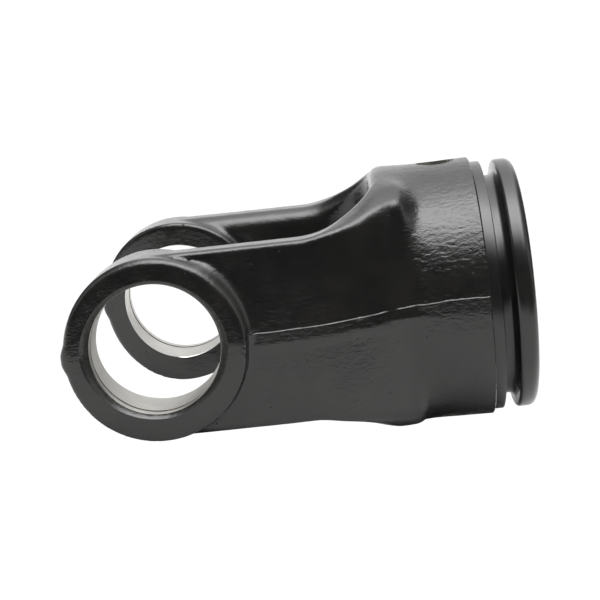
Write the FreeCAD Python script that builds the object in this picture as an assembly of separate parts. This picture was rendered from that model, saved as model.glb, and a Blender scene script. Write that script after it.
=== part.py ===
import FreeCAD, Part
import os, math

# Forged universal-joint yoke, one solid.
# Modelled about its own axes: X along the tube axis (ears at x = 0, flange
# at +X), Y along the cross bore, Z across both.  The dies part on z = 0.
# The finished solid is then turned about Y so that both ears and the hub's
# front lip touch one level plane, which is how the yoke lies on a bench.

V = FreeCAD.Vector

# ---------------------------------------------------------------- sizes, mm
BORE_D = 32.0            # cross bore
MOUTH_Y = 42.0           # bore mouth, inner end of the countersink
RING_Y0, RING_W = 38.0, 1.3    # snap-ring groove: start and width
RING_D = 33.7            # snap-ring groove diameter

FORGE_Z = -0.25          # the forging sits this far below the machined bore axes

EAR_R = 22.5             # outside of the ear rings
EAR_IN = 24.8            # flat inner face of the ears
EAR_OUT = 43.9           # ridge of the ears' outer face, at z = 0
EAR_DRAFT = 3.5          # degrees, outer face each side of the parting plane
EAR_EDGE = 2.0           # rounding of the rings' outer edge
NUB_X = -23.35           # trimmed flash left proud on each ear's tip
BEVEL_X = -7.0           # the inner face leans away towards the tip from here
BEVEL_DEG = 24.0
FOOT_R, FOOT_Y = 27.0, 39.9    # foot of the concave blend from ring to arm

ARM_Z = 22.5             # half height of the arms
ARM_DRAFT = 4.0          # degrees, arm sides
ARM_OUT = [(1.0, 40.4), (24.0, 40.2), (36.0, 40.0), (43.0, 39.2), (49.0, 37.6),
           (55.0, 35.5), (61.0, 33.9), (70.0, 33.0)]   # x, half width at z = 0
RISE_X, RISE_R = 36.5, 22.0    # start and radius of the rise to the hub
CROWN_Z, CROWN_R = 33.9, 75.0 # crowned top and bottom of the arm roots
ROOT_LIMIT = [(44.0, 47.0), (51.0, 43.4), (57.6, 41.0), (61.5, 39.4)]  # x, radius of the root corners
COVE_X1 = 67.0           # concave step from the root corners to the round hub

GAP_ARM = 27.2           # half gap between the arms behind the rings
GAP_X = 26.0             # the gap has that width from here aft
THROAT_X = 57.0          # front face of the hub between the arms
THROAT_R = 15.0          # throat corners in plan
FLARE_Z = 16.5           # the gap opens outwards above and below this height
FLARE = 4.0

HUB_R0, HUB_R1 = 33.5, 34.0    # forged hub, front and rear
HUB_END = 82.4           # end of the forged skin
BAND_R = 32.8            # machined band
BAND_END = 85.4
GROOVE_R = 28.9          # groove bottom
FLANGE_X0 = 88.6
FLANGE_X1 = 93.8
FLANGE_R = 32.8
SOCKET_D = 44.0          # tube socket, through into the throat
PIN_X = 73.7             # cross pin hole, along Z through both walls
PIN_D = 10.0


def prism(pts, vec):
    """Straight prism on a closed polygon."""
    v = [V(*p) for p in pts]
    return Part.Face(Part.makePolygon(v + [v[0]])).extrude(V(*vec))


def turned(prof):
    """Solid of revolution about X from (x, r) points."""
    v = [V(x, 0, r) for x, r in prof]
    return Part.Face(Part.makePolygon(v + [v[0]])).revolve(V(0, 0, 0), V(1, 0, 0), 360)


def arc3(a, m, b):
    return Part.Arc(V(*a), V(*m), V(*b)).toShape()


def line(a, b):
    return Part.makeLine(V(*a), V(*b))


def frustum(lo, hi):
    """Ruled solid between two closed polygons with matching corners."""
    w = [Part.makePolygon([V(*p) for p in q] + [V(*q[0])]) for q in (lo, hi)]
    s = Part.makeLoft(w, True, True)
    return s if s.Volume > 0 else s.reversed()


# ------------------------------------------------------------ arms and roots
def plan_outline(z):
    """Outer outline of both arms in plan at height z, narrowed by the draft."""
    t = abs(z) * math.tan(math.radians(ARM_DRAFT))
    side = [(x, y - t, z) for x, y in ARM_OUT]
    return side + [(x, -y, z) for x, y, z in reversed(side)]


H = 40.0
plan = frustum(plan_outline(0.0), plan_outline(H))
plan = plan.fuse(frustum(plan_outline(-H), plan_outline(0.0)))


def side_outline():
    """Side outline of arms and roots, as a slab across both arms."""
    x0, z0, r = RISE_X, ARM_Z, RISE_R
    a = math.radians(62.0)
    xe, ze = x0 + r * math.sin(a), z0 + r * (1 - math.cos(a))
    xm, zm = x0 + r * math.sin(a / 2), z0 + r * (1 - math.cos(a / 2))
    edges = []
    for k in (1, -1):
        edges += [line((1, -60, k * z0), (x0, -60, k * z0)),
                  arc3((x0, -60, k * z0), (xm, -60, k * zm), (xe, -60, k * ze)),
                  line((xe, -60, k * ze), (xe + 4, -60, k * (ze + 7.5))),
                  line((xe + 4, -60, k * (ze + 7.5)), (90, -60, k * (ze + 7.5)))]
    edges += [line((1, -60, z0), (1, -60, -z0)),
              line((90, -60, ze + 7.5), (90, -60, -ze - 7.5))]
    f = Part.Face(Part.Wire(Part.__sortEdges__(edges)))
    return f.extrude(V(0, 120.0, 0))


crown = Part.makeCylinder(CROWN_R, 120.0, V(-10, 0, CROWN_Z - CROWN_R), V(1, 0, 0))
crown = crown.common(Part.makeCylinder(CROWN_R, 120.0, V(-10, 0, CROWN_R - CROWN_Z), V(1, 0, 0)))

# limit of revolution about X: root corners, then the concave step to the hub
c0, c1 = (ROOT_LIMIT[-1][0], 0, ROOT_LIMIT[-1][1]), (COVE_X1, 0, HUB_R0 - 0.4)
cm = (c0[0] + 1.5, 0, HUB_R0 + 1.9)
pts = [(-12, 0, 0), (-12, 0, 60)] + [(x, 0, r) for x, r in [(43.0, 60.0)] + ROOT_LIMIT]
edges = [line(p, q) for p, q in zip(pts, pts[1:])]
edges += [arc3(c0, cm, c1), line(c1, (COVE_X1, 0, 0)), line((COVE_X1, 0, 0), pts[0])]
limit = Part.Face(Part.Wire(edges)).revolve(V(0, 0, 0), V(1, 0, 0), 360)

arms = plan.common(crown).common(limit).common(side_outline())
arms.translate(V(0, 0, FORGE_Z))
hub = turned([(57.5, 0), (57.5, HUB_R0), (HUB_END - 0.7, HUB_R1), (HUB_END, HUB_R1 - 0.7), (HUB_END, 0)])
hub.translate(V(0, 0, FORGE_Z))


# ----------------------------------------------------------------- ear rings
def ear():
    """The +Y ear: solid ring blank with its drafted outer face and foot."""
    cyl = Part.makeCylinder(EAR_R, 30.0, V(0, 20.0, 0), V(0, 1, 0))
    drop = 40.0 * math.tan(math.radians(EAR_DRAFT))
    roof = prism([(-40, 10, -40), (-40, EAR_OUT - drop, -40), (-40, EAR_OUT, 0),
                  (-40, EAR_OUT - drop, 40), (-40, 10, 40)], (80, 0, 0))
    ring = cyl.common(roof)
    rim = [e for e in ring.Edges
           if e.BoundBox.YMin > 41.5 and e.BoundBox.ZLength > 10.0]
    ring = ring.makeFillet(EAR_EDGE, rim)
    p0, p1 = (FOOT_R, FOOT_Y, 0), (EAR_R - 1.2, 42.4, 0)
    mid = (0.5 * (p0[0] + p1[0]) - 0.5, 0.5 * (p0[1] + p1[1]) - 0.8, 0)
    foot = Part.Face(Part.Wire([line((0, 20, 0), (FOOT_R, 20, 0)), line((FOOT_R, 20, 0), p0),
                                arc3(p0, mid, p1), line(p1, (0, 42.4, 0)),
                                line((0, 42.4, 0), (0, 20, 0))])).revolve(V(0, 0, 0), V(0, 1, 0), 360)
    foot = foot.common(Part.makeBox(30.0, 40.0, 2 * (ARM_Z - 1.8), V(4.0, 10.0, 1.8 - ARM_Z)))
    nub = prism([(-20.0, 24.0, -3.1), (NUB_X + 0.35, 24.0, -1.7), (NUB_X, 24.0, -0.9), (NUB_X, 24.0, 0.9),
                 (NUB_X + 0.35, 24.0, 1.6), (-20.0, 24.0, 2.9)], (0, 18.6, 0))
    blank = ring.fuse([foot, nub])
    blank.translate(V(0, 0, FORGE_Z))
    return blank


e1 = ear()
e2 = e1.mirror(V(0, 0, 0), V(0, 1, 0))

# -------------------------------------------------- machined band and flange
rear = turned([(60.0, 0), (60.0, BAND_R - 3), (70.0, BAND_R),
               (BAND_END - 0.6, BAND_R), (BAND_END, BAND_R - 0.6),
               (BAND_END + 0.9, GROOVE_R + 0.3), (BAND_END + 1.2, GROOVE_R),
               (FLANGE_X0 - 0.9, GROOVE_R), (FLANGE_X0 - 0.3, GROOVE_R + 0.5),
               (FLANGE_X0, GROOVE_R + 1.6), (FLANGE_X0, FLANGE_R - 1.0),
               (FLANGE_X0 + 0.3, FLANGE_R - 0.3), (FLANGE_X0 + 1.0, FLANGE_R),
               (FLANGE_X1 - 2.2, FLANGE_R), (FLANGE_X1 - 0.7, FLANGE_R - 0.8),
               (FLANGE_X1, FLANGE_R - 2.6), (FLANGE_X1, 0)])

body = arms.fuse([hub, rear, e1, e2])


# ------------------------------------------------------------------- the gap
def gap_outline(z, e, e2):
    """Outline of the fork gap in plan; e widens it between the arms."""
    yb = EAR_IN + (BEVEL_X + 40.0) * math.tan(math.radians(BEVEL_DEG))
    g, xt = GAP_ARM + e, THROAT_X + e2
    half = [(-40.0, yb), (BEVEL_X, EAR_IN), (18.5, EAR_IN), (GAP_X - 3.0, g - 0.9 - 0.5 * e), (GAP_X, g),
            (xt - THROAT_R, g)]
    cx, cy, n = xt - THROAT_R, g - THROAT_R, 6
    for i in range(1, n + 1):
        w = math.pi / 2 * (1 - i / n)
        half.append((cx + THROAT_R * math.cos(w), cy + THROAT_R * math.sin(w)))
    pts = half + [(x, -y) for x, y in reversed(half)]
    return [(x, y, z) for x, y in pts]


gap = [frustum(gap_outline(-FLARE_Z, 0, 0), gap_outline(FLARE_Z, 0, 0))]
for s in (1, -1):
    lo, mi, hi = (gap_outline(s * FLARE_Z, 0, 0), gap_outline(s * (FLARE_Z + 6.2), FLARE, 0.2),
                  gap_outline(s * 42.0, FLARE + 2.0, 3.0))
    gap.append(frustum(lo, mi))
    gap.append(frustum(mi, hi))
for g in gap:
    body = body.cut(g)

# --------------------------------------------------------- machined features
cuts = [Part.makeCylinder(BORE_D / 2, 120.0, V(0, -60, 0), V(0, 1, 0))]
for s in (1, -1):
    cuts.append(Part.makeCone(BORE_D / 2, BORE_D / 2 + 6.0, 6.0,
                              V(0, s * MOUTH_Y, 0), V(0, s, 0)))
    cuts.append(Part.makeCylinder(RING_D / 2, RING_W, V(0, s * RING_Y0, 0), V(0, s, 0)))
cuts.append(Part.makeCylinder(SOCKET_D / 2, 80.0, V(40.0, 0, 0), V(1, 0, 0)))
cuts.append(Part.makeCone(SOCKET_D / 2, SOCKET_D / 2 + 1.5, 1.5,
                          V(FLANGE_X1 - 1.5, 0, 0), V(1, 0, 0)))
cuts.append(Part.makeCylinder(PIN_D / 2, 90.0, V(PIN_X, 0, -45), V(0, 0, 1)))
for c in cuts:
    body = body.cut(c)
body = body.removeSplitter()

# -------------------------------------------- lie it level as it really rests
# Common tangent below the ear rings and the hub's front lip.
LIP_X = THROAT_X + 1.4
d = math.hypot(LIP_X, CROWN_Z)
REST_TILT = math.degrees(math.asin(EAR_R / d) - math.atan2(CROWN_Z, LIP_X))
body.rotate(V(0, 0, 0), V(0, 1, 0), REST_TILT)

os.makedirs("parts", exist_ok=True)
solid = body.Solids[0]
solid.exportStep("parts/yoke.step")
bb = solid.optimalBoundingBox(True)
print("solids", len(body.Solids), "valid", solid.isValid(), "volume", round(solid.Volume, 1),
      "tilt", round(REST_TILT, 3))
print("box", [round(v, 2) for v in (bb.XMin, bb.XMax, bb.YMin, bb.YMax, bb.ZMin, bb.ZMax)],
      "cog", solid.CenterOfMass)
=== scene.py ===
import math

import bpy
import numpy as np
from mathutils import Matrix


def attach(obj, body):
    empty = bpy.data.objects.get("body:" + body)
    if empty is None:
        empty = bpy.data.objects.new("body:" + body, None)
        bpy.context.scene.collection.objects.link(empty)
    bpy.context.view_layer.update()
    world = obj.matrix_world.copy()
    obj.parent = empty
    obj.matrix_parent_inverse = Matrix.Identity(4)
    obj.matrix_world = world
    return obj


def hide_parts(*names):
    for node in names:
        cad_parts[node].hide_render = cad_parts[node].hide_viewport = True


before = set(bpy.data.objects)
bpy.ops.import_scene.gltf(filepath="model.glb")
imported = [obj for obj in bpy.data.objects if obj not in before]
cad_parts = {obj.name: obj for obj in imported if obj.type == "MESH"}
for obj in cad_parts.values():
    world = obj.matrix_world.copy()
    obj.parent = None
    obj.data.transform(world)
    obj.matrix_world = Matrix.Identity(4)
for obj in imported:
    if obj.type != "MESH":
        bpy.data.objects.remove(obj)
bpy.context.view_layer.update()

# Lengths are millimetres in the yoke's own frame (X along the tube axis,
# Y along the cross bore, Z across) until the mesh is finished.
TILT = math.radians(10.671)   # the yoke lies nose down on its ears
FZ = -0.25                    # ears and arms: forging centre against the machined axes
RZ = 0.35                     # arm roots, the same
HZ = 0.15                     # hub, the same


# ===================================================================== tools
def rint(a, b, r):
    """Intersection with a rounded convex edge."""
    return np.minimum(-r, np.maximum(a, b)) + np.hypot(np.maximum(r + a, 0), np.maximum(r + b, 0))


def runi(a, b, r):
    """Union with a rounded concave corner."""
    return np.maximum(r, np.minimum(a, b)) - np.hypot(np.maximum(r - a, 0), np.maximum(r - b, 0))


def sstep(e0, e1, v):
    t = np.clip((v - e0) / (e1 - e0), 0.0, 1.0)
    return t * t * (3.0 - 2.0 * t)


GRID = np.arange(-60.0, 130.0, 0.05)


def table(pts, sigma):
    """Smoothed piecewise-linear function of one variable."""
    xs, vs = zip(*pts)
    v = np.interp(GRID, xs, vs)
    n = int(4 * sigma / 0.05)
    k = np.exp(-0.5 * (np.arange(-n, n + 1) * 0.05 / sigma) ** 2)
    k /= k.sum()
    v = np.convolve(np.pad(v, n, mode="edge"), k, mode="valid")
    return lambda x: np.interp(x, GRID, v)


def noise3(p, size, seed):
    """Gradient noise of the given feature size, about -1..1."""
    rng = np.random.default_rng(seed)
    perm = np.tile(rng.permutation(256), 3)
    grad = rng.normal(size=(256, 3))
    grad /= np.linalg.norm(grad, axis=1)[:, None]
    q = p / size
    i = np.floor(q).astype(np.int64)
    f = q - i
    i &= 255
    u = f * f * f * (f * (f * 6 - 15) + 10)
    out = 0.0
    for dx in (0, 1):
        for dy in (0, 1):
            for dz in (0, 1):
                h = perm[perm[perm[i[:, 0] + dx] + i[:, 1] + dy] + i[:, 2] + dz]
                w = ((u[:, 0] if dx else 1 - u[:, 0]) * (u[:, 1] if dy else 1 - u[:, 1])
                     * (u[:, 2] if dz else 1 - u[:, 2]))
                out = out + w * (grad[h] * (f - (dx, dy, dz))).sum(axis=1)
    return out * 1.7


# ============================================================ the forged body
half_width = table([(0, 40.4), (24, 40.2), (36, 40.0), (41, 39.7), (44, 39.2), (47, 38.4), (50, 37.2),
                    (52, 36.4), (55, 35.4), (57.6, 34.6), (61.0, 33.8), (64.0, 33.4)], 1.2)
side_slope = table([(0, 0.0699), (45, 0.0699), (52, 0.093), (57.6, 0.155), (61.0, 0.213)], 1.2)
root_limit = table([(36, 62.0), (43, 50.0), (47, 45.4), (51, 43.4), (57.6, 41.0), (61.5, 39.6), (66, 38.2)], 1.0)
root_centre = table([(40, FZ), (50, FZ), (57, RZ), (70, RZ)], 1.5)
cove = table([(62.0, 0.0), (63.2, 0.10), (64.2, 0.34), (65.2, 0.60), (66.4, 0.80), (68.0, 0.93), (70.5, 1.0)], 0.5)
inner_edge = table([(0, 5.4), (44, 4.6), (52, 2.2), (90, 2.2)], 1.5)
flash_top = table([(-30, 0.55), (-22, 0.60), (18.5, 1.40), (21, 1.25), (23.5, 0.98), (29, 0.93), (35, 1.12), (41, 1.26),
                   (47.5, 1.56), (53.7, 1.72), (60, 2.15), (66, 2.48), (72, 2.84), (78, 2.96), (82, 2.82), (90, 2.82)], 0.5)
band_depth = table([(-30, 3.0), (19, 3.6), (23, 3.3), (28, 2.85), (35, 2.8), (47, 2.4), (60, 2.9), (72, 3.2), (90, 3.4)], 0.8)

C35, S35 = math.cos(math.radians(3.5)), math.sin(math.radians(3.5))
C24, S24 = math.cos(math.radians(24.0)), math.sin(math.radians(24.0))


def forging(x, y, z):
    """Signed distance-like field of the forged blank, negative inside."""
    ay, zf = np.abs(y), z - FZ
    az = np.abs(zf)
    # ear: ring blank with drafted face, flash nub on its tip, bevelled inside
    xr = np.where(x < 0, x * (22.5 / 22.2), x)
    edge = 0.7 + 1.3 * sstep(-21.0, 2.0, zf)
    ring = rint(np.hypot(xr, zf) - 22.49, (ay - 43.88) * C35 + az * S35, edge)
    lean = 0.8 * (22.9 + x)
    nub = rint(rint(-x - 22.85, (np.abs(zf + 0.15) - 1.9 - lean) * 0.78, 0.9), ay - 43.0, 1.2)
    ring = runi(ring, np.maximum(nub, x + 15.0), 1.2)
    inner = rint(24.8 - ay, (24.8 - ay) * C24 + (-7.0 - x) * S24, 3.0)
    ear = rint(ring, inner, 1.2)
    # arms and roots
    xc = np.minimum(x, 63.5)
    k = side_slope(xc)
    side = (ay - half_width(xc) + az * k) / np.sqrt(1.02 + k * k)
    rise = 22.0 - np.hypot(np.maximum(xc - 36.5, 0), 44.5 - az)
    zr = z - root_centre(x)
    rho = np.hypot(y, zr)
    crown = np.hypot(y, np.abs(zr) + 41.05) - 75.0
    limit = (rho - root_limit(xc)) * 0.93
    soft = sstep(41.0, 53.0, x)
    top = rint(rint(rise, crown, 1.0 + 3.0 * soft), limit, 1.2 + 1.8 * soft)
    body = rint(top, side, 1.3)
    # the root corners run out into the round hub in a concave step, which
    # fades to a plain blend on top and underneath
    hub = np.hypot(y, z - HZ) - (33.5 + 0.02 * (x - 57.0))
    t = sstep(10.0, 23.0, ay)
    w = t * cove(x) + (1 - t) * sstep(55.0, 69.5, x)
    body = (1 - w) * body + w * hub
    body = rint(body, x - 83.4, 0.3)
    # fork gap with its round throat
    gap = runi(27.2 - ay, 55.8 - x, 15.0)
    body = rint(body, gap, inner_edge(x))
    body = np.maximum(body, 1.0 - x)
    # ring meets arm: full fillet above the parting line, tighter below
    upper = sstep(-2.0, 3.0, zf)
    outer = sstep(33.0, 35.0, ay)
    r = ((1.5 + 1.9 * upper) * outer + 2.0 * (1 - outer)) * sstep(22.2, 18.5, az) * sstep(1.5, 8.0, x) + 0.02
    return runi(ear, body, r)


def surface_nets(field, xs, ys, zs):
    """Quad mesh of the field's zero level on a rectilinear grid."""
    s = field < 0
    n = [len(xs) - 1, len(ys) - 1, len(zs) - 1]
    cnt = np.zeros(n, np.uint8)
    for a in (0, 1):
        for b in (0, 1):
            for c in (0, 1):
                cnt += s[a:a + n[0], b:b + n[1], c:c + n[2]]
    act = (cnt > 0) & (cnt < 8)
    idx = np.full(n, -1, np.int32)
    i, j, k = np.nonzero(act)
    idx[i, j, k] = np.arange(len(i))
    pos, wgt = np.zeros((len(i), 3)), np.zeros(len(i))
    cor = [(a, b, c) for a in (0, 1) for b in (0, 1) for c in (0, 1)]
    for p in cor:
        for q in cor:
            if sum(q) - sum(p) == 1 and all(v >= u for u, v in zip(p, q)):
                fa = field[i + p[0], j + p[1], k + p[2]]
                fb = field[i + q[0], j + q[1], k + q[2]]
                m = (fa < 0) != (fb < 0)
                t = (fa[m] / (fa[m] - fb[m]))
                for ax, (g, e) in enumerate(((xs, i), (ys, j), (zs, k))):
                    ga, gb = g[e[m] + p[ax]], g[e[m] + q[ax]]
                    pos[m, ax] += ga + t * (gb - ga)
                wgt[m] += 1
    pos /= wgt[:, None]
    quads = []
    for ax in range(3):
        u, v = (ax + 1) % 3, (ax + 2) % 3
        lo = [slice(1, n[d]) for d in range(3)]
        hi = list(lo)
        lo[ax], hi[ax] = slice(0, n[ax]), slice(1, n[ax] + 1)
        a, b = s[tuple(lo)], s[tuple(hi)]
        e = np.argwhere(a != b)
        e[:, u] += 1
        e[:, v] += 1
        inside_low = a[a != b]
        ring = []
        for du, dv in ((-1, -1), (0, -1), (0, 0), (-1, 0)):
            c = e.copy()
            c[:, u] += du
            c[:, v] += dv
            ring.append(idx[c[:, 0], c[:, 1], c[:, 2]])
        ring = np.stack(ring, axis=1)
        ring[~inside_low] = ring[~inside_low][:, ::-1]
        quads.append(ring)
    return pos, np.vstack(quads)


def gradient(fun, p, h=0.02):
    g = np.empty_like(p)
    for a in range(3):
        d = np.zeros(3)
        d[a] = h
        q, r = p + d, p - d
        g[:, a] = (fun(q[:, 0], q[:, 1], q[:, 2]) - fun(r[:, 0], r[:, 1], r[:, 2])) / (2 * h)
    return g


def settle(p, quads, rounds=3):
    """Pull the points onto the surface, evening out the net in between."""
    e = np.vstack([quads[:, [a, (a + 1) % 4]] for a in range(4)])
    deg = np.bincount(e[:, 0], minlength=len(p)) + np.bincount(e[:, 1], minlength=len(p))
    for k in range(rounds + 2):
        if k < rounds:
            avg = np.stack([np.bincount(e[:, 0], p[e[:, 1], a], len(p)) + np.bincount(e[:, 1], p[e[:, 0], a], len(p))
                            for a in range(3)], axis=1) / deg[:, None]
            g = gradient(forging, p)
            nrm = g / np.linalg.norm(g, axis=1)[:, None]
            d = 0.4 * (avg - p)
            p = p + d - nrm * (d * nrm).sum(axis=1)[:, None]
        g = gradient(forging, p)
        f = forging(p[:, 0], p[:, 1], p[:, 2])
        p = p - g * (np.clip(f, -0.5, 0.5) / np.maximum((g * g).sum(axis=1), 0.05))[:, None]
    return p


def skin(p):
    """Relief of the forged skin and the trimmed flash, along the normal."""
    g = gradient(forging, p, 0.05)
    nrm = g / np.linalg.norm(g, axis=1)[:, None]
    x, y, z = p.T
    ay, zf = np.abs(y), z - FZ
    calm = 1.0 - 0.7 * sstep(79.0, 81.5, x)
    lively = 0.55 + 0.45 * sstep(58.0, 66.0, x)
    d = calm * (0.045 * noise3(p, 11.0, 3) + lively * (0.024 * noise3(p, 4.2, 5) + 0.012 * noise3(p, 2.3, 7)))
    # the flash land: a small ledge on top, a trimmed face, a soft return below
    s = np.stack([x, y * 0.5, np.zeros_like(x)], axis=1)
    zz = z - flash_top(x) + 0.12 * noise3(s, 2.2, 11) + 0.07 * noise3(s, 0.9, 12)
    slope = np.where(x > 20.0, 0.070, 0.061)
    hubw = sstep(61.0, 66.0, x)

    def base(v):
        return (1 - hubw) * (-slope * np.abs(v)) + hubw * (-v * v / 67.0)

    ledge = 0.24 + 0.08 * noise3(s, 5.0, 13) + 0.05 * noise3(s, 1.6, 14) - 0.20 * np.exp(-((x - 58.3) / 2.0) ** 2) \
        - 0.12 * np.exp(-((x - 18.5) / 2.0) ** 2)
    ledge = np.where(x < 17.0, 0.55 * ledge, ledge)
    proud = base(flash_top(x) - FZ) + ledge + 0.02 * np.clip(-zz, 0, 4) - base(zf)
    prof = sstep(0.24, -0.04, zz) * np.clip((zz + band_depth(x) + 2.6) / 2.6, 0, 1)
    torn = np.exp(-((x - 50.0) / 5.5) ** 2) * sstep(-0.1, -0.5, zz) * sstep(-3.0, -1.9, zz)
    q = p * np.array([1.0, 0.6, 1.0])
    tear = torn * (0.11 * noise3(q, 1.7, 17) + 0.05 * noise3(q, 0.9, 18))
    face = sstep(0.60, 0.85, np.sign(y) * nrm[:, 1]) * sstep(26.0, 30.0, ay)
    corner = sstep(0.0, 1.2, np.abs(np.hypot(x, zf) - 22.9))
    d = d + face * (prof * np.clip(proud, 0, 0.6) * (0.35 + 0.65 * corner) + tear)
    # keep the skin inside its own box
    d = np.where((ay > 43.3) | (x < -22.2) | (np.hypot(x, zf) > 22.0) & (x < 2) | (np.abs(z) > 33.0), np.minimum(d, 0.0), d)
    out = p + nrm * d[:, None]
    out[:, 1] = np.clip(out[:, 1], -43.89, 43.89)
    return out


def axis_points(lo, hi, step, extra=None):
    return np.unique(np.concatenate([np.linspace(lo, hi, int(round((hi - lo) / step)) + 1),
                                     [] if extra is None else extra]))


def forged_mesh():
    step = 0.70
    xs = axis_points(-24.2, 84.4, step)
    ys = axis_points(0.0, 45.1, step)
    up = np.arange(0.62, 37.5, step)
    dn = -np.arange(4.6, 37.5, step)
    mid = np.array([-4.1, -3.7, -3.4, -3.1, -2.7, -2.3, -1.9, -1.5, -1.1, -0.75, -0.45, -0.22, -0.08, 0.03, 0.13,
                    0.23, 0.36])
    zs = np.unique(np.concatenate([dn, mid, up]))
    gx, gy, gz = np.meshgrid(xs, ys, zs, indexing="ij")
    half = forging(gx, gy, gz + flash_top(gx))
    full = np.concatenate([half[:, :0:-1, :], half], axis=1)
    yy = np.concatenate([-ys[:0:-1], ys])
    pos, quads = surface_nets(full, xs, yy, zs)
    pos[:, 2] += flash_top(pos[:, 0])
    pos = settle(pos, quads)
    return skin(pos), quads


# ========================================================== mesh and booleans
def make_mesh(name, verts, faces):
    me = bpy.data.meshes.new(name)
    me.from_pydata([tuple(v) for v in verts], [], [tuple(int(i) for i in f) for f in faces])
    me.validate()
    ob = bpy.data.objects.new(name, me)
    bpy.context.scene.collection.objects.link(ob)
    return ob


def lathe(name, prof, axis, n=288):
    """Closed solid of revolution from (position, radius) pairs; both ends have radius 0."""
    verts, faces = [], []
    ang = [2 * math.pi * i / n for i in range(n)]
    body = prof[1:-1]
    frames = {"X": lambda a, c, s: (a, c, s), "Y": lambda a, c, s: (s, a, c), "Z": lambda a, c, s: (c, s, a)}[axis]
    for a, r in body:
        verts += [frames(a, r * math.cos(t), r * math.sin(t)) for t in ang]
    for k in range(len(body) - 1):
        for i in range(n):
            j = (i + 1) % n
            faces.append((k * n + i, k * n + j, (k + 1) * n + j, (k + 1) * n + i))
    faces.append(tuple(range(n))[::-1])
    faces.append(tuple(range((len(body) - 1) * n, len(body) * n)))
    ob = make_mesh(name, verts, faces)
    vol = 0.0
    for p in ob.data.polygons:
        c = [ob.data.vertices[i].co for i in p.vertices]
        for i in range(1, len(c) - 1):
            vol += c[0].dot(c[i].cross(c[i + 1]))
    if vol < 0:
        ob.data.flip_normals()
    return ob


def boolean(ob, tool, op):
    m = ob.modifiers.new("b", "BOOLEAN")
    m.object, m.operation, m.solver = tool, op, "MANIFOLD"
    dg = bpy.context.evaluated_depsgraph_get()
    me = bpy.data.meshes.new_from_object(ob.evaluated_get(dg))
    if len(me.polygons) < 1000:
        m.solver = "EXACT"
        dg = bpy.context.evaluated_depsgraph_get()
        me = bpy.data.meshes.new_from_object(ob.evaluated_get(dg))
    ob.modifiers.clear()
    ob.data = me
    bpy.data.objects.remove(tool)


def arc(cx, cr, r, a0, a1, n):
    return [(cx + r * math.cos(math.radians(a0 + (a1 - a0) * i / n)), cr + r * math.sin(math.radians(a0 + (a1 - a0) * i / n)))
            for i in range(n + 1)]


pos, quads = forged_mesh()
yoke = make_mesh("yoke_forging", pos, quads)

# the forged skin ends in a turned chamfer
boolean(yoke, lathe("end", [(-40.0, 0), (-40.0, 75.0), (81.5, 75.0), (81.5, 34.72), (82.4, 33.6), (82.4, 0)], "X"), "INTERSECT")

# machined rear end: band, snap groove, end flange
rear = [(60.0, 0), (60.0, 26.0), (70.0, 32.6), (80.0, 32.72), (82.2, 32.78)]
rear += [(84.9, 32.78), (85.03, 32.72), (85.08, 32.58), (85.08, 31.0)]
rear += arc(85.78, 29.6, 0.7, 180, 270, 5) + [(86.3, 28.9)] + arc(87.0, 30.5, 1.6, 270, 360, 9)
rear += [(88.6, 31.6)] + arc(89.5, 31.9, 0.88, 180, 90, 6) + [(90.4, 32.78), (91.2, 32.78)]
rear += arc(91.4, 30.58, 2.2, 90, 12, 9) + [(93.68, 29.6), (93.68, 28.0), (93.68, 0)]
boolean(yoke, lathe("rear", rear, "X"), "UNION")

# cross bores with countersunk mouths and snap-ring grooves
half = [(24.55, 16.45), (25.0, 16.0), (38.0, 16.0), (38.0, 16.85), (39.3, 16.85), (39.3, 16.0), (41.85, 16.0),
        (42.0, 16.06), (43.9, 18.1), (60.0, 35.4)]
bore = [(-60.0, 0)] + [(-a, r) for a, r in half[::-1]] + half + [(60.0, 0)]
boolean(yoke, lathe("bore", bore, "Y"), "DIFFERENCE")

# tube socket, chamfered at the flange
boolean(yoke, lathe("socket", [(40.0, 0), (40.0, 22.0), (92.2, 22.0), (93.8, 23.55), (100.0, 29.8), (100.0, 0)], "X"),
        "DIFFERENCE")
# cross pin hole through both walls
pin = lathe("pin", [(-45.0, 0), (-45.0, 5.0), (45.0, 5.0), (45.0, 0)], "Z", 96)
pin.data.transform(Matrix.Translation((73.7, 0, 0)))
boolean(yoke, pin, "DIFFERENCE")

# ------------------------------------------------ surfaces by how they're made
me = yoke.data
nf = len(me.polygons)
cen, nor = np.empty(nf * 3), np.empty(nf * 3)
me.polygons.foreach_get("center", cen)
me.polygons.foreach_get("normal", nor)
cen, nor = cen.reshape(-1, 3), nor.reshape(-1, 3)
x, y, z = cen.T
rb, rx = np.hypot(x, z), np.hypot(y, z)
slot = np.zeros(nf, np.int32)                                   # 0 forged, painted
inward = (nor[:, 1] * y + nor[:, 2] * z) < -0.2 * rx
slot[(x > 82.6) & (rx > 22.5)] = 1                              # 1 turned, painted
ny = np.abs(nor[:, 1])
atbore = (np.abs(y) < 41.95) & (np.abs(y) > 24.0) & (x < 20)
slot[atbore & (rb < 16.03) & (ny < 0.3)] = 2                    # 2 bare bores
slot[atbore & (rb < 16.9) & (np.abs(np.abs(y) - 38.65) < 0.7)] = 2
slot[atbore & (rb < 16.6) & (np.abs(y) < 25.1) & (np.abs(ny - 0.7) < 0.12)] = 2
slot[(rx < 22.3) & (x > 50.0)] = 2
slot[(x > 92.0) & (rx < 23.7) & inward] = 2
slot[(np.hypot(x - 73.7, y) < 5.02) & (np.abs(z) > 20)] = 2

me.materials.clear()
for mname in ("forged_black_paint", "turned_black_paint", "machined_steel"):
    me.materials.append(bpy.data.materials.new(mname))
me.polygons.foreach_set("material_index", slot)

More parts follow.
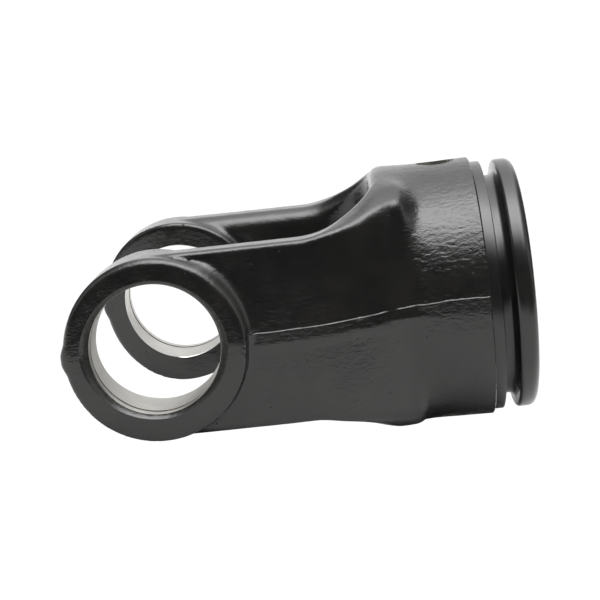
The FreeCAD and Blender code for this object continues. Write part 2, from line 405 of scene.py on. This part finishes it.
# into the part's frame, in metres
ct, st = math.cos(TILT), math.sin(TILT)
me.transform(Matrix(((ct, 0, -st, 0), (0, 1, 0, 0), (st, 0, ct, 0), (0, 0, 0, 1))) @ Matrix.Scale(0.001, 4))
me.shade_smooth()
me.set_sharp_from_angle(angle=math.radians(32))
me.update()
yoke.name = "forged_yoke_body"
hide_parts("yoke")
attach(yoke, "root")
print("triangles", sum(len(p.vertices) - 2 for p in me.polygons))


# ================================================================= materials
class Net:
    """Small helper for node trees."""

    def __init__(self, tree):
        self.t = tree
        tree.nodes.clear()

    def node(self, kind, **kw):
        n = self.t.nodes.new(kind)
        for k, v in kw.items():
            setattr(n, k, v)
        return n

    def put(self, sock, v):
        if isinstance(v, bpy.types.NodeSocket):
            self.t.links.new(v, sock)
        else:
            sock.default_value = v

    def math(self, op, a, b=None, c=None, clamp=False):
        n = self.node("ShaderNodeMath", operation=op, use_clamp=clamp)
        for i, v in enumerate((a, b, c)):
            if v is not None:
                self.put(n.inputs[i], v)
        return n.outputs[0]

    def ramp(self, v, a0, a1, b0=0.0, b1=1.0, kind="SMOOTHSTEP"):
        n = self.node("ShaderNodeMapRange", interpolation_type=kind)
        for s, q in zip(("Value", "From Min", "From Max", "To Min", "To Max"), (v, a0, a1, b0, b1)):
            self.put(n.inputs[s], q)
        return n.outputs[0]

    def mix(self, f, a, b):
        n = self.node("ShaderNodeMix", data_type="RGBA")
        self.put(n.inputs[0], f)
        self.put(n.inputs[6], a)
        self.put(n.inputs[7], b)
        return n.outputs[2]

    def noise(self, vec, scale, detail=2.0, rough=0.5, distortion=0.0):
        n = self.node("ShaderNodeTexNoise")
        self.put(n.inputs["Vector"], vec)
        n.inputs["Scale"].default_value = scale
        n.inputs["Detail"].default_value = detail
        n.inputs["Roughness"].default_value = rough
        n.inputs["Distortion"].default_value = distortion
        return n.outputs["Fac"]

    def cells(self, vec, scale, feature="F1", smooth=None, out="Distance"):
        n = self.node("ShaderNodeTexVoronoi", feature=feature)
        self.put(n.inputs["Vector"], vec)
        n.inputs["Scale"].default_value = scale
        if smooth is not None:
            n.inputs["Smoothness"].default_value = smooth
        return n.outputs[out]

    def scaled(self, vec, scale, rot=(0, 0, 0), loc=(0, 0, 0)):
        n = self.node("ShaderNodeMapping")
        self.put(n.inputs["Vector"], vec)
        n.inputs["Scale"].default_value = scale
        n.inputs["Rotation"].default_value = rot
        n.inputs["Location"].default_value = loc
        return n.outputs[0]


def finish_surface(net, base, rough, bump, **consts):
    p = net.node("ShaderNodeBsdfPrincipled")
    out = net.node("ShaderNodeOutputMaterial")
    net.put(p.inputs["Base Color"], base)
    net.put(p.inputs["Roughness"], rough)
    net.put(p.inputs["Normal"], bump)
    for k, v in consts.items():
        p.inputs[k.replace("_", " ")].default_value = v
    net.t.links.new(p.outputs[0], out.inputs["Surface"])
    return p


def bump_of(net, height, strength=1.0, dist=0.001, normal=None):
    b = net.node("ShaderNodeBump")
    b.inputs["Strength"].default_value = strength
    b.inputs["Distance"].default_value = dist
    net.put(b.inputs["Height"], height)
    if normal is not None:
        net.put(b.inputs["Normal"], normal)
    return b.outputs[0]


def to_yoke(net):
    """Object coordinates turned back into the yoke's own frame, in millimetres."""
    tc = net.node("ShaderNodeTexCoord")
    return net.scaled(tc.outputs["Object"], (1000.0, 1000.0, 1000.0), (0.0, TILT, 0.0))


# ---- satin-gloss black paint over the forged skin
mat = me.materials["forged_black_paint"]
mat.use_nodes = True
n = Net(mat.node_tree)
co = to_yoke(n)
sep = n.node("ShaderNodeSeparateXYZ")
n.put(sep.inputs[0], co)
X, Y, Z = sep.outputs
hubside = n.ramp(X, 60.0, 68.0)
lively = n.ramp(hubside, 0.0, 1.0, 0.45, 1.0)
drawn = n.scaled(co, (0.50, 0.72, 0.95), (0.25, 0.70, 0.0))
wrinkle = n.noise(drawn, 1.0, 2.0, 0.5, 0.8)
dents = n.cells(n.scaled(co, (0.55, 0.55, 0.85), (0.0, 0.70, 0.0)), 1.0, "SMOOTH_F1", 0.7)
grain = n.noise(co, 2.1, 2.0, 0.6, 0.1)
fine = n.noise(co, 5.0, 1.0, 0.5)
h = n.math("MULTIPLY", n.math("SUBTRACT", wrinkle, 0.5), 0.15)
h = n.math("MULTIPLY", n.math("ADD", h, n.math("MULTIPLY", dents, 0.06)), lively)
h = n.math("ADD", h, n.math("MULTIPLY", grain, 0.036))
h = n.math("ADD", h, n.math("MULTIPLY", fine, 0.006))
# scattered pits, a few of them in clusters; their dents are also painted darker below, as painted shade
pitn = n.node("ShaderNodeTexVoronoi", feature="F1")
n.put(pitn.inputs["Vector"], co)
pitn.inputs["Scale"].default_value = 0.30
pitc = n.node("ShaderNodeSeparateColor")
n.put(pitc.inputs[0], pitn.outputs["Color"])
rare = n.math("GREATER_THAN", pitc.outputs[0], 0.55)
pit = n.math("MULTIPLY", n.ramp(pitn.outputs["Distance"], 0.035, 0.085, 1.0, 0.0), rare)
h = n.math("SUBTRACT", h, n.math("MULTIPLY", pit, 0.05))
nrm = bump_of(n, h, 1.0, 0.001)
tone = n.noise(co, 0.09, 3.0, 0.55, 0.2)
speck = n.node("ShaderNodeTexVoronoi", feature="F1")
n.put(speck.inputs["Vector"], n.scaled(co, (1, 1, 1), (0.4, 0.9, 0.2), (3.1, 7.7, 1.3)))
speck.inputs["Scale"].default_value = 0.42
spc = n.node("ShaderNodeSeparateColor")
n.put(spc.inputs[0], speck.outputs["Color"])
dust = n.math("MULTIPLY", n.ramp(speck.outputs["Distance"], 0.03, 0.055, 1.0, 0.0),
              n.math("GREATER_THAN", spc.outputs[1], 0.62))
dust = n.math("MULTIPLY", dust, n.ramp(spc.outputs[2], 0.0, 1.0, 0.15, 0.8, "LINEAR"))
paint = n.mix(n.ramp(tone, 0.35, 0.68), (0.0085, 0.0085, 0.0082, 1), (0.0130, 0.0126, 0.0118, 1))
# the pits get a darker colour than the paint around them: painted shade in the dents
paint = n.mix(pit, paint, (0.004, 0.004, 0.004, 1))
paint = n.mix(dust, paint, (0.16, 0.16, 0.155, 1))
rough = n.ramp(n.noise(co, 0.30, 3.0, 0.6), 0.3, 0.7, 0.17, 0.24)
rough = n.math("ADD", rough, n.math("MULTIPLY", pit, 0.25))
finish_surface(n, paint, rough, nrm, IOR=1.5)

# ---- the same paint over turned faces: smooth, with faint lathe rings
mat = me.materials["turned_black_paint"]
mat.use_nodes = True
n = Net(mat.node_tree)
co = to_yoke(n)
sep = n.node("ShaderNodeSeparateXYZ")
n.put(sep.inputs[0], co)
rings = n.noise(n.scaled(co, (2.6, 0.02, 0.02)), 1.0, 3.0, 0.6)
peel = n.noise(co, 0.9, 2.0, 0.5)
h = n.math("ADD", n.math("MULTIPLY", rings, 0.006), n.math("MULTIPLY", peel, 0.008))
tone = n.noise(co, 0.10, 3.0, 0.55)
paint = n.mix(n.ramp(tone, 0.35, 0.68), (0.0090, 0.0090, 0.0088, 1), (0.0130, 0.0128, 0.0122, 1))
rough = n.ramp(n.noise(co, 0.25, 3.0, 0.6), 0.3, 0.7, 0.18, 0.25)
finish_surface(n, paint, rough, bump_of(n, h), IOR=1.5)

# ---- bare machined steel in the bores
mat = me.materials["machined_steel"]
mat.use_nodes = True
n = Net(mat.node_tree)
co = to_yoke(n)
sep = n.node("ShaderNodeSeparateXYZ")
n.put(sep.inputs[0], co)
lines = n.noise(n.scaled(co, (0.05, 7.0, 0.05)), 1.0, 3.0, 0.65)
cloud = n.noise(co, 0.16, 4.0, 0.6, 0.3)
steel = n.mix(n.ramp(cloud, 0.3, 0.72), (0.44, 0.43, 0.405, 1), (0.56, 0.55, 0.52, 1))
steel = n.mix(n.math("MULTIPLY", n.ramp(lines, 0.35, 0.65), 0.16), steel, (0.33, 0.32, 0.30, 1))
rough = n.ramp(cloud, 0.3, 0.7, 0.34, 0.44)
finish_surface(n, steel, rough, bump_of(n, n.math("MULTIPLY", lines, 0.004)), Metallic=1.0)

# ===================================================================== stage
floor_z = min(v.co.z for v in me.vertices)
fl = make_mesh("floor", [(-1.6, -1.6, floor_z), (1.6, -1.6, floor_z), (1.6, 2.4, floor_z), (-1.6, 2.4, floor_z)],
               [(0, 1, 2, 3)])
mat = bpy.data.materials.new("pale_floor")
fl.data.materials.append(mat)
mat.use_nodes = True
n = Net(mat.node_tree)
tc = n.node("ShaderNodeTexCoord")
sep = n.node("ShaderNodeSeparateXYZ")
n.put(sep.inputs[0], tc.outputs["Object"])
# painted shade: the floor is near black in front of the part for reflected and bounced rays only, so the part reflects
# darkness on the camera side; camera rays see plain white emission
near = n.ramp(sep.outputs[1], -0.235, -0.125)
col = n.mix(near, (0.004, 0.004, 0.004, 1), (0.62, 0.62, 0.615, 1))
dif = n.node("ShaderNodeBsdfDiffuse")
n.put(dif.inputs["Color"], col)
emi = n.node("ShaderNodeEmission")
emi.inputs["Color"].default_value = (1, 1, 1, 1)
emi.inputs["Strength"].default_value = 1.05
lp = n.node("ShaderNodeLightPath")
mx = n.node("ShaderNodeMixShader")
n.put(mx.inputs[0], lp.outputs["Is Camera Ray"])
n.put(mx.inputs[1], dif.outputs[0])
n.put(mx.inputs[2], emi.outputs[0])
out = n.node("ShaderNodeOutputMaterial")
n.put(out.inputs["Surface"], mx.outputs[0])

# ---- studio: long overhead softbox towards the front, white sweep behind
world = bpy.data.worlds.new("studio")
bpy.context.scene.world = world
world.use_nodes = True
n = Net(world.node_tree)
tc = n.node("ShaderNodeTexCoord")
sep = n.node("ShaderNodeSeparateXYZ")
n.put(sep.inputs[0], tc.outputs["Generated"])
DX, DY, DZ = sep.outputs
psi = n.math("ARCTAN2", DZ, n.math("MULTIPLY", DY, -1.0))
t = n.math("DIVIDE", psi, math.pi)
cr = n.node("ShaderNodeValToRGB")
n.put(cr.inputs[0], t)
stops = [(0, 0.02), (20, 0.02), (34, 0.06), (40, 0.25), (45, 1.0), (50, 3.0), (55, 5.4), (60, 7.2), (66, 8.8), (72, 9.2),
         (78, 9.2), (84, 8.4), (91, 6.2), (98, 4.4), (106, 3.2), (116, 2.4), (126, 1.7), (140, 1.3), (160, 1.1), (180, 1.1)]
e = cr.color_ramp.elements
while len(e) > 1:
    e.remove(e[-1])
e[0].position, e[0].color = 0.0, (stops[0][1] / 10,) * 3 + (1,)
for a, v in stops[1:]:
    q = e.new(a / 180.0)
    q.color = (v / 10, v / 10, v / 10, 1)
side = n.ramp(n.math("ABSOLUTE", DX), 0.25, 0.60, 1.0, 0.12)
lum = n.math("MULTIPLY", n.math("MULTIPLY", cr.outputs[0], 10.0), side)
below = n.math("LESS_THAN", DZ, 0.0)
back = n.ramp(DY, -0.2, 0.3, 0.05, 1.3)
lum = n.math("ADD", n.math("MULTIPLY", lum, n.math("SUBTRACT", 1.0, below)), n.math("MULTIPLY", back, below))
lp = n.node("ShaderNodeLightPath")
cam_ray = lp.outputs["Is Camera Ray"]
lum = n.math("ADD", n.math("MULTIPLY", lum, n.math("SUBTRACT", 1.0, cam_ray)), n.math("MULTIPLY", 1.05, cam_ray))
bg = n.node("ShaderNodeBackground")
bg.inputs["Color"].default_value = (1, 1, 1, 1)
n.put(bg.inputs["Strength"], lum)
out = n.node("ShaderNodeOutputWorld")
n.put(out.inputs["Surface"], bg.outputs[0])

# ==================================================================== camera
TH, PS, TAU = 0.17448539215334222, -0.017184160732179064, 0.10932894272377958
TX, TY, TZ = -34.33676066, -4.738591619, 422.8814273


def rot_y(a):
    c, s = math.cos(a), math.sin(a)
    return np.array([[c, 0, -s], [0, 1, 0], [s, 0, c]])


def rot_z(a):
    c, s = math.cos(a), math.sin(a)
    return np.array([[c, -s, 0], [s, c, 0], [0, 0, 1]])


M = rot_z(PS) @ rot_y(TAU)
right = M.T @ np.array([1, 0, 0])
fwd = M.T @ np.array([0, math.cos(TH), -math.sin(TH)])
upv = M.T @ np.array([0, math.sin(TH), math.cos(TH)])
loc = -(right * TX + upv * TY + fwd * TZ)
T = rot_y(TILT)
right, fwd, upv, loc = T @ right, T @ fwd, T @ upv, T @ loc / 1000.0
cam = bpy.data.cameras.new("camera")
cam.sensor_width = 36.0
cam.lens = 95.05
cam.clip_start, cam.clip_end = 0.01, 20.0
cob = bpy.data.objects.new("camera", cam)
bpy.context.scene.collection.objects.link(cob)
cob.matrix_world = Matrix(((right[0], upv[0], -fwd[0], loc[0]), (right[1], upv[1], -fwd[1], loc[1]),
                           (right[2], upv[2], -fwd[2], loc[2]), (0, 0, 0, 1)))
bpy.context.scene.camera = cob
vs = bpy.context.scene.view_settings
vs.view_transform, vs.look, vs.exposure, vs.gamma = "Standard", "None", 0.0, 1.0

bpy.context.view_layer.update()
